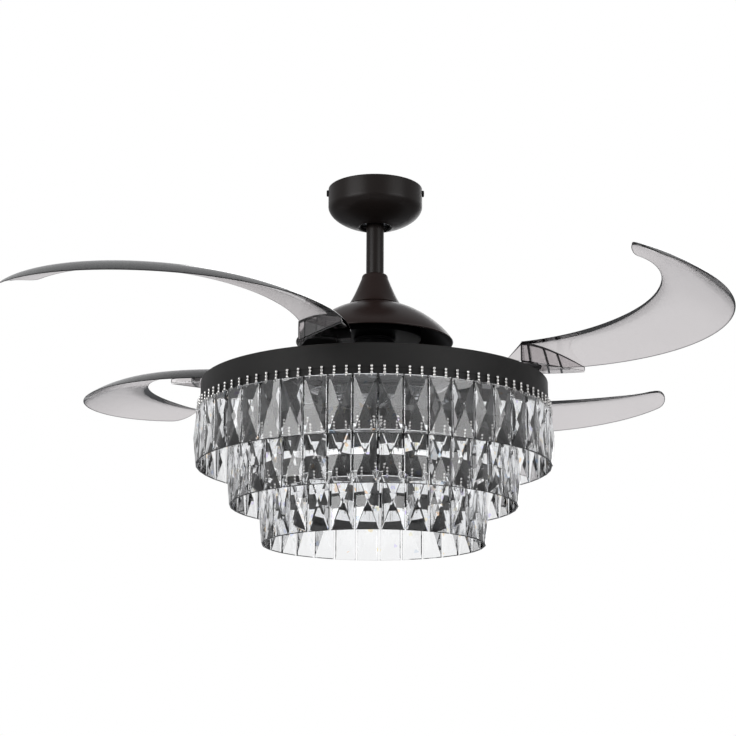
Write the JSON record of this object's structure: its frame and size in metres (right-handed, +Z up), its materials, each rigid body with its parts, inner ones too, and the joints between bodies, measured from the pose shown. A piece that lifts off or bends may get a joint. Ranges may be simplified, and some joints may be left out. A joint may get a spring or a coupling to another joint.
{
  "type": "retractable-blade ceiling fan with crystal light",
  "caption": "Ceiling fan whose curved clear blades swing out as it turns and fold over its drum, above a tiered crystal light on a down rod.",
  "frame": {"origin": "centre of the bracket's upper face, where it lies on the ceiling", "axes": "+Z up along the down rod into the ceiling, -Y towards the viewer of the picture, +X to the viewer's right; blades open"},
  "size_m": [1.0018, 1.0018, 0.5524],
  "materials": {
    "dark_paint": "satin near-black brown paint",
    "bronze": "semi-gloss dark bronze paint",
    "black_paint": "matt charcoal black powder coat",
    "cast_motor": "black painted casting",
    "zinc": "zinc-plated steel",
    "steel": "bright turned steel",
    "black_plastic": "black moulded plastic",
    "white_plastic": "white moulded plastic",
    "nylon": "natural nylon",
    "rubber": "black rubber",
    "smoke": "clear smoke-grey acrylic",
    "crystal": "clear cut crystal on painted steel strips",
    "clear_cover": "clear acrylic cover"
  },
  "bodies": {
    "mounting": {"ceiling_bracket": "zinc", "canopy": "dark_paint", "canopy_screw_right": "black_plastic", "canopy_screw_left": "black_plastic", "remote_receiver": "white_plastic"},
    "hanging_frame": {"hanger_ball": "zinc", "ball_cross_pin": "steel", "down_rod": "dark_paint", "coupling_cover": "bronze", "coupler": "zinc", "coupler_pin": "steel", "motor_dome": "bronze", "fixed_shaft": "steel", "light_pan": "black_paint", "drum_band": "black_paint", "crystal_tier_top": "crystal", "crystal_tier_middle": "crystal", "crystal_tier_bottom": "crystal", "tier_frame": "black_paint", "light_board": "black_paint", "light_diffuser": "clear_cover", "light_driver": "black_plastic", "shaft_nut": "zinc"},
    "rotor": {"motor_casing": "cast_motor", "rotor_hub": "cast_motor", "blade_deck": "black_plastic", "gear_floor": "black_plastic", "pivot_pin_1": "steel", "rubber_stop_1": "rubber", "pivot_pin_2": "steel", "rubber_stop_2": "rubber", "pivot_pin_3": "steel", "rubber_stop_3": "rubber", "pivot_pin_4": "steel", "rubber_stop_4": "rubber"},
    "sync_ring": {"ring_gear": "nylon"},
    "folding_blade_1": {"blade_1": "smoke", "blade_hub_1": "black_plastic", "pinion_1": "nylon"},
    "folding_blade_2": {"blade_2": "smoke", "blade_hub_2": "black_plastic", "pinion_2": "nylon"},
    "folding_blade_3": {"blade_3": "smoke", "blade_hub_3": "black_plastic", "pinion_3": "nylon"},
    "folding_blade_4": {"blade_4": "smoke", "blade_hub_4": "black_plastic", "pinion_4": "nylon"}
  },
  "joints": [
    {"name": "hanger_ball_tilt", "type": "hinge", "parent": "mounting", "child": "hanging_frame", "pos_m": [0, 0, -0.04356], "axis": [1, 0, 0], "range_deg": [-10, 10]},
    {"name": "rotor_spin", "type": "hinge", "parent": "hanging_frame", "child": "rotor", "pos_m": [0, 0, -0.225], "axis": [0, 0, 1], "continuous": true},
    {"name": "blade_1_fold", "type": "hinge", "parent": "rotor", "child": "folding_blade_1", "pos_m": [0.18089, -0.08531, -0.2932], "axis": [0, 0, 1], "range_deg": [-131.2, 0]},
    {"name": "blade_2_fold", "type": "hinge", "parent": "rotor", "child": "folding_blade_2", "pos_m": [0.08531, 0.18089, -0.2932], "axis": [0, 0, 1], "range_deg": [-131.2, 0]},
    {"name": "blade_3_fold", "type": "hinge", "parent": "rotor", "child": "folding_blade_3", "pos_m": [-0.18089, 0.08531, -0.2932], "axis": [0, 0, 1], "range_deg": [-131.2, 0]},
    {"name": "blade_4_fold", "type": "hinge", "parent": "rotor", "child": "folding_blade_4", "pos_m": [-0.08531, -0.18089, -0.2932], "axis": [0, 0, 1], "range_deg": [-131.2, 0]},
    {"name": "sync_ring_turn", "type": "hinge", "parent": "rotor", "child": "sync_ring", "pos_m": [0, 0, -0.3095], "axis": [0, 0, 1], "range_deg": [0, 14.58]}
  ],
  "couplings": [
    {"joint": "blade_2_fold", "follows": "blade_1_fold", "ratio": 1},
    {"joint": "blade_3_fold", "follows": "blade_1_fold", "ratio": 1},
    {"joint": "blade_4_fold", "follows": "blade_1_fold", "ratio": 1},
    {"joint": "sync_ring_turn", "follows": "blade_1_fold", "ratio": -0.11111}
  ]
}
